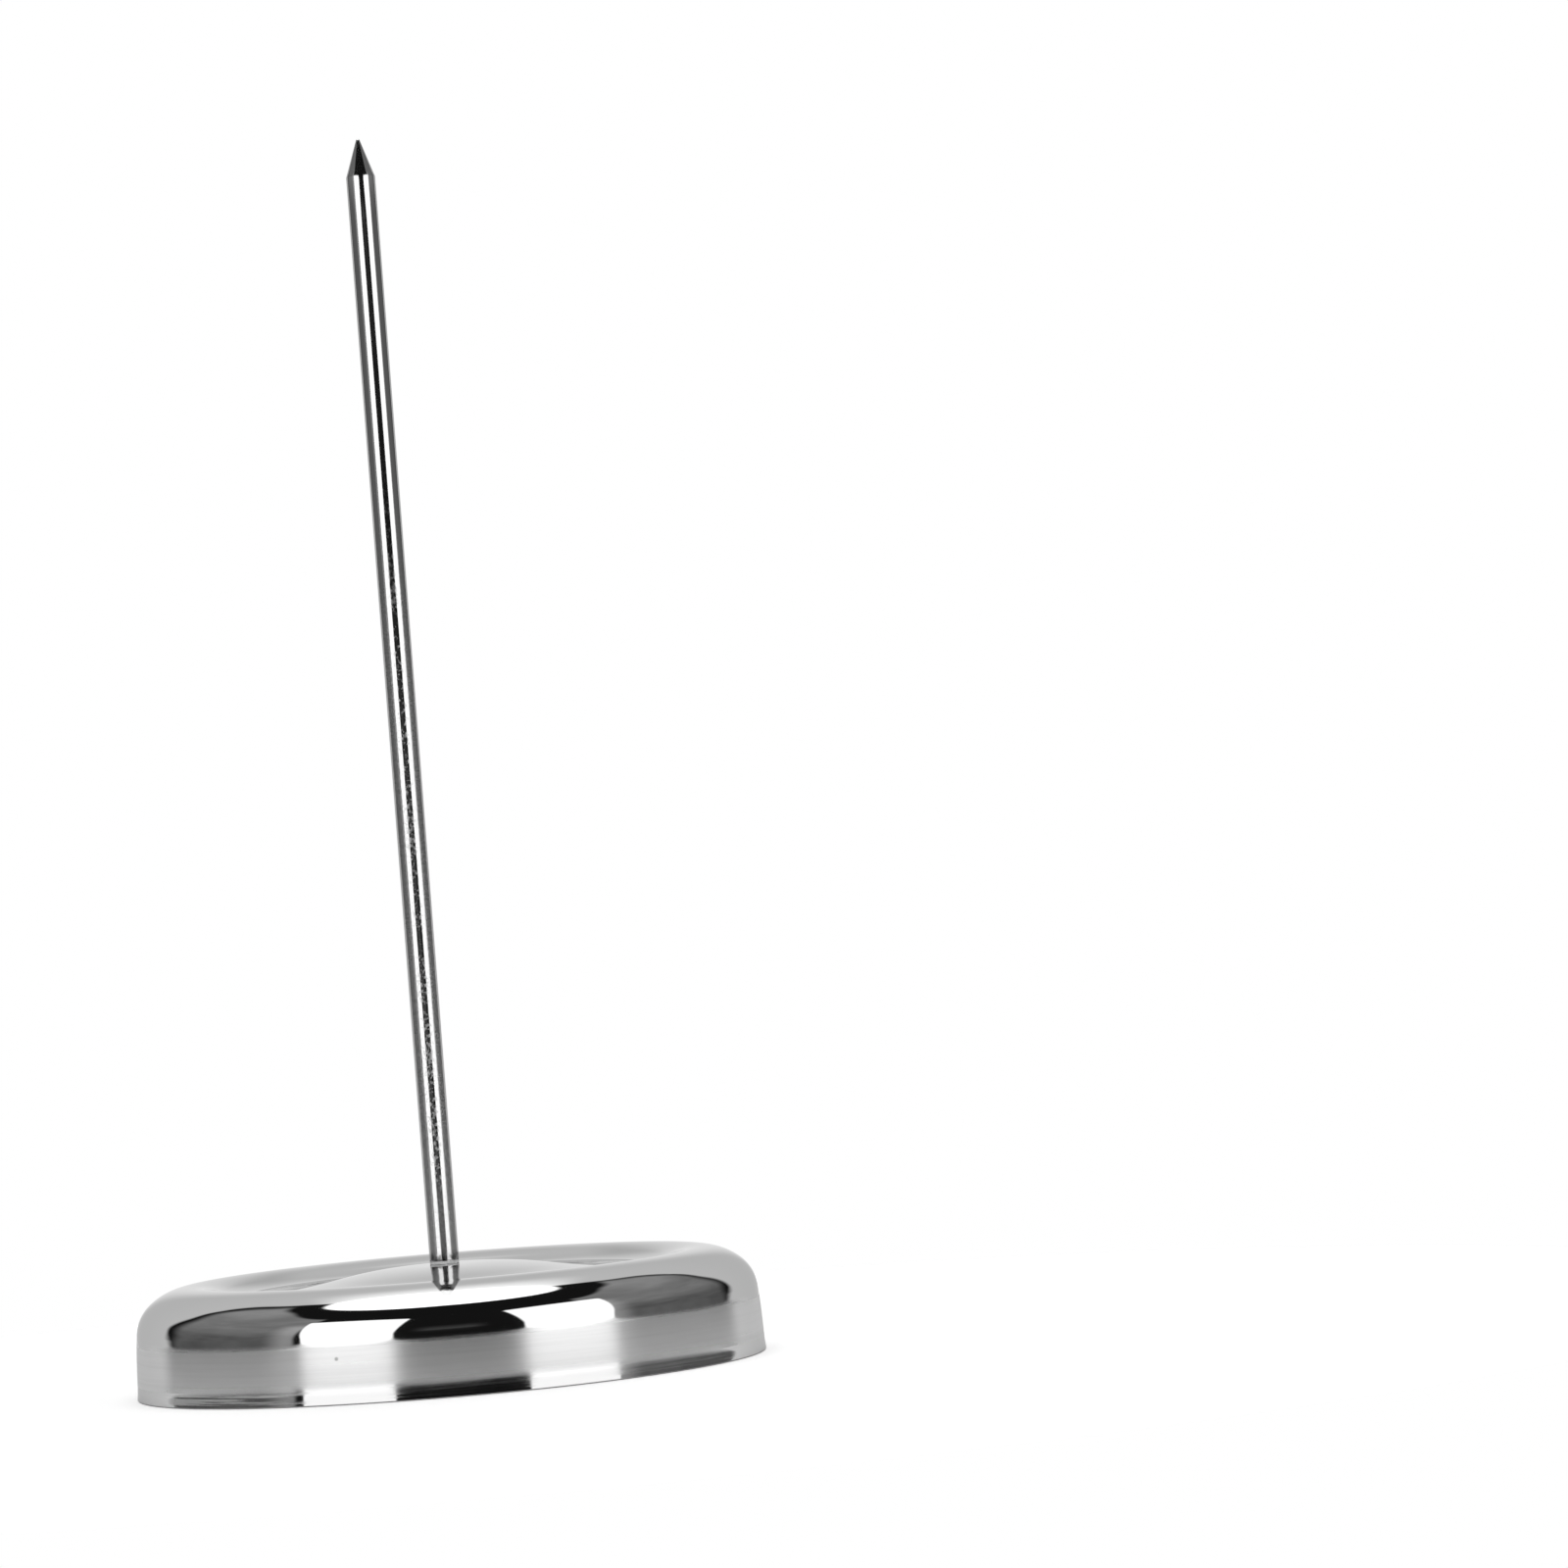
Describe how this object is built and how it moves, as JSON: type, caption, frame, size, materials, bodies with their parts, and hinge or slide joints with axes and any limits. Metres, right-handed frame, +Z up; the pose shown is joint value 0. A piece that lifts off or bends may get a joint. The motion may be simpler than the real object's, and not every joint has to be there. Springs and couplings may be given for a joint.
{
  "type": "bill spike",
  "caption": "Bill spike: an upright polished steel rod with a ground point on a round pressed steel base with a dished top, for keeping paper slips.",
  "frame": {"origin": "middle of the ring under the rim that the base rests on", "axes": "+Z up along the spike, towards its point; X and Y are free, because the part is round"},
  "size_m": [0.086, 0.086, 0.17],
  "materials": {
    "base_steel": "polished stainless steel, with a satin brushed belt round the skirt",
    "spike_steel": "polished stainless steel, ground at the point",
    "fastener_steel": "bright turned steel",
    "spring_steel": "dark hardened spring steel"
  },
  "bodies": {
    "root": {"base_shell": "base_steel", "spike_rod": "spike_steel", "plain_washer": "fastener_steel", "spring_washer": "spring_steel", "hex_nut": "fastener_steel"}
  },
  "joints": []
}
